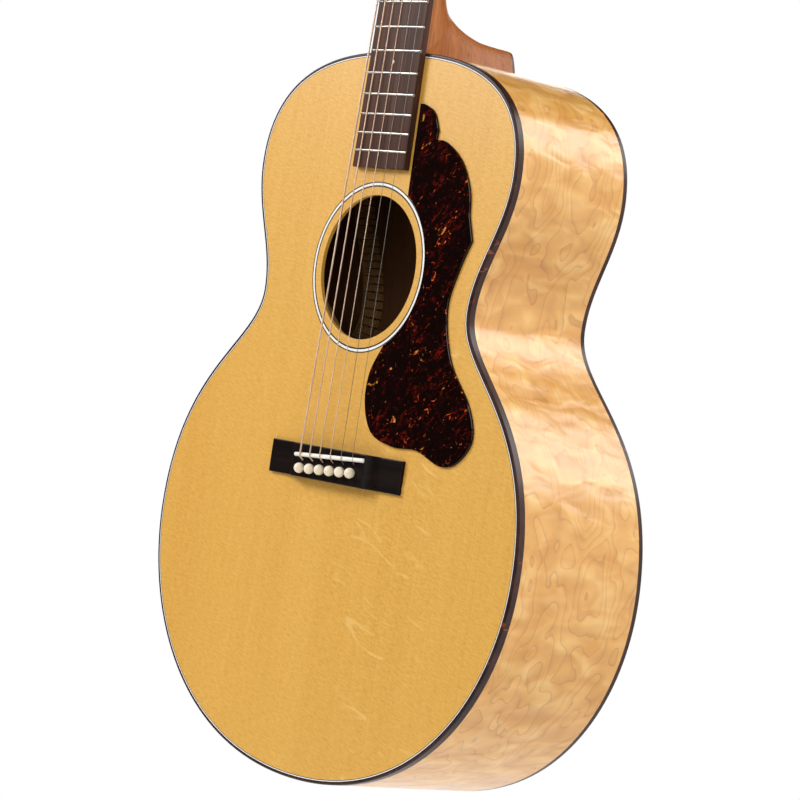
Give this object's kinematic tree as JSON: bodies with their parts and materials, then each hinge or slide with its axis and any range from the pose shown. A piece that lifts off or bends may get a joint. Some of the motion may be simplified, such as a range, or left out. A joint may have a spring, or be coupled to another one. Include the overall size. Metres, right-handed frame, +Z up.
{
  "type": "flat-top acoustic guitar",
  "caption": "Flat-top steel-string acoustic guitar with waisted body, round soundhole, scalloped pickguard, pinned bridge and geared tuners.",
  "frame": {"origin": "on the centre line at the nut line, level with the front of the soundboard, where a hanger's yoke holds the neck below the head", "axes": "+X to the treble side, +Y from the front of the body to its back, +Z up along the neck towards the head"},
  "size_m": [0.3918, 0.1386, 1.0312],
  "materials": {
    "spruce_top": "thin gloss over straight-grained honey spruce",
    "maple_body": "gloss over quilted maple",
    "maple_plate": "bare, unfinished",
    "mahogany": "satin",
    "spruce_bracing": "bare, unfinished",
    "tortoise_binding": "polished dark tortoise",
    "white_trim": "polished",
    "tortoise_guard": "polished dark tortoise with red and amber flecks",
    "rosewood": "oiled, dark brown with streaks",
    "ebony": "oiled, nearly black",
    "bone": "polished bone",
    "cream_plastic": "polished cream",
    "bronze_string": "phosphor bronze winding",
    "steel_string": "plain tinned steel wire",
    "truss_steel": "plain",
    "nickel": "nickel plated, lightly aged",
    "tuner_button": "cream button on a nickel shaft"
  },
  "bodies": {
    "root": {"soundboard": "spruce_top", "back_plate": "maple_body", "side_bass": "maple_body", "side_treble": "maple_body", "bridge_plate": "maple_plate", "neck": "mahogany", "neck_block": "mahogany", "tail_block": "mahogany", "lining_top_bass": "spruce_bracing", "lining_top_treble": "spruce_bracing", "lining_back_bass": "spruce_bracing", "lining_back_treble": "spruce_bracing", "x_brace_bass": "spruce_bracing", "x_brace_treble": "spruce_bracing", "tone_bar_upper": "spruce_bracing", "tone_bar_lower": "spruce_bracing", "transverse_brace": "spruce_bracing", "back_brace_1": "spruce_bracing", "back_brace_2": "spruce_bracing", "back_brace_3": "spruce_bracing", "back_brace_4": "spruce_bracing", "binding_top": "tortoise_binding", "binding_back": "tortoise_binding", "heel_cap": "tortoise_binding", "purfling_top": "white_trim", "rosette": "white_trim", "pickguard": "tortoise_guard", "fretboard": "rosewood", "bridge": "ebony", "headplate": "ebony", "saddle": "bone", "nut": "bone", "string_3": "bronze_string", "string_4": "bronze_string", "string_5": "bronze_string", "string_6": "bronze_string", "string_1": "steel_string", "string_2": "steel_string", "truss_rod": "truss_steel", "tuner_plate_bass": "nickel", "tuner_plate_treble": "nickel"},
    "tuner_knob_6": {"tuner_knob_6": "tuner_button"},
    "tuner_post_6": {"tuner_post_6": "nickel"},
    "tuner_knob_5": {"tuner_knob_5": "tuner_button"},
    "tuner_post_5": {"tuner_post_5": "nickel"},
    "tuner_knob_4": {"tuner_knob_4": "tuner_button"},
    "tuner_post_4": {"tuner_post_4": "nickel"},
    "tuner_knob_3": {"tuner_knob_3": "tuner_button"},
    "tuner_post_3": {"tuner_post_3": "nickel"},
    "tuner_knob_2": {"tuner_knob_2": "tuner_button"},
    "tuner_post_2": {"tuner_post_2": "nickel"},
    "tuner_knob_1": {"tuner_knob_1": "tuner_button"},
    "tuner_post_1": {"tuner_post_1": "nickel"},
    "bridge_pin_1": {"bridge_pin_1": "cream_plastic"},
    "bridge_pin_2": {"bridge_pin_2": "cream_plastic"},
    "bridge_pin_3": {"bridge_pin_3": "cream_plastic"},
    "bridge_pin_4": {"bridge_pin_4": "cream_plastic"},
    "bridge_pin_5": {"bridge_pin_5": "cream_plastic"},
    "bridge_pin_6": {"bridge_pin_6": "cream_plastic"}
  },
  "joints": [
    {"name": "tuner_knob_6_turn", "type": "hinge", "parent": "root", "child": "tuner_knob_6", "pos_m": [-0.022, 0.02652, 0.03329], "axis": [-1, 0, 0], "continuous": true},
    {"name": "tuner_post_6_turn", "type": "hinge", "parent": "root", "child": "tuner_post_6", "pos_m": [-0.022, 0.01087, 0.04597], "axis": [0, 0.9659, -0.2588], "continuous": true},
    {"name": "tuner_knob_5_turn", "type": "hinge", "parent": "root", "child": "tuner_knob_5", "pos_m": [-0.022, 0.03687, 0.07192], "axis": [-1, 0, 0], "continuous": true},
    {"name": "tuner_post_5_turn", "type": "hinge", "parent": "root", "child": "tuner_post_5", "pos_m": [-0.022, 0.02122, 0.08461], "axis": [0, 0.9659, -0.2588], "continuous": true},
    {"name": "tuner_knob_4_turn", "type": "hinge", "parent": "root", "child": "tuner_knob_4", "pos_m": [-0.022, 0.04723, 0.11056], "axis": [-1, 0, 0], "continuous": true},
    {"name": "tuner_post_4_turn", "type": "hinge", "parent": "root", "child": "tuner_post_4", "pos_m": [-0.022, 0.03158, 0.12324], "axis": [0, 0.9659, -0.2588], "continuous": true},
    {"name": "tuner_knob_3_turn", "type": "hinge", "parent": "root", "child": "tuner_knob_3", "pos_m": [0.022, 0.04723, 0.11056], "axis": [1, 0, 0], "continuous": true},
    {"name": "tuner_post_3_turn", "type": "hinge", "parent": "root", "child": "tuner_post_3", "pos_m": [0.022, 0.03158, 0.12324], "axis": [0, 0.9659, -0.2588], "continuous": true},
    {"name": "tuner_knob_2_turn", "type": "hinge", "parent": "root", "child": "tuner_knob_2", "pos_m": [0.022, 0.03687, 0.07192], "axis": [1, 0, 0], "continuous": true},
    {"name": "tuner_post_2_turn", "type": "hinge", "parent": "root", "child": "tuner_post_2", "pos_m": [0.022, 0.02122, 0.08461], "axis": [0, 0.9659, -0.2588], "continuous": true},
    {"name": "tuner_knob_1_turn", "type": "hinge", "parent": "root", "child": "tuner_knob_1", "pos_m": [0.022, 0.02652, 0.03329], "axis": [1, 0, 0], "continuous": true},
    {"name": "tuner_post_1_turn", "type": "hinge", "parent": "root", "child": "tuner_post_1", "pos_m": [0.022, 0.01087, 0.04597], "axis": [0, 0.9659, -0.2588], "continuous": true},
    {"name": "bridge_pin_1_pull", "type": "slide", "parent": "root", "child": "bridge_pin_1", "axis": [0, -1, 0], "range_m": [0, 0.03]},
    {"name": "bridge_pin_2_pull", "type": "slide", "parent": "root", "child": "bridge_pin_2", "axis": [0, -1, 0], "range_m": [0, 0.03]},
    {"name": "bridge_pin_3_pull", "type": "slide", "parent": "root", "child": "bridge_pin_3", "axis": [0, -1, 0], "range_m": [0, 0.03]},
    {"name": "bridge_pin_4_pull", "type": "slide", "parent": "root", "child": "bridge_pin_4", "axis": [0, -1, 0], "range_m": [0, 0.03]},
    {"name": "bridge_pin_5_pull", "type": "slide", "parent": "root", "child": "bridge_pin_5", "axis": [0, -1, 0], "range_m": [0, 0.03]},
    {"name": "bridge_pin_6_pull", "type": "slide", "parent": "root", "child": "bridge_pin_6", "axis": [0, -1, 0], "range_m": [0, 0.03]}
  ],
  "couplings": [
    {"joint": "tuner_post_6_turn", "follows": "tuner_knob_6_turn", "ratio": 0.071429},
    {"joint": "tuner_post_5_turn", "follows": "tuner_knob_5_turn", "ratio": 0.071429},
    {"joint": "tuner_post_4_turn", "follows": "tuner_knob_4_turn", "ratio": 0.071429},
    {"joint": "tuner_post_3_turn", "follows": "tuner_knob_3_turn", "ratio": 0.071429},
    {"joint": "tuner_post_2_turn", "follows": "tuner_knob_2_turn", "ratio": 0.071429},
    {"joint": "tuner_post_1_turn", "follows": "tuner_knob_1_turn", "ratio": 0.071429}
  ]
}
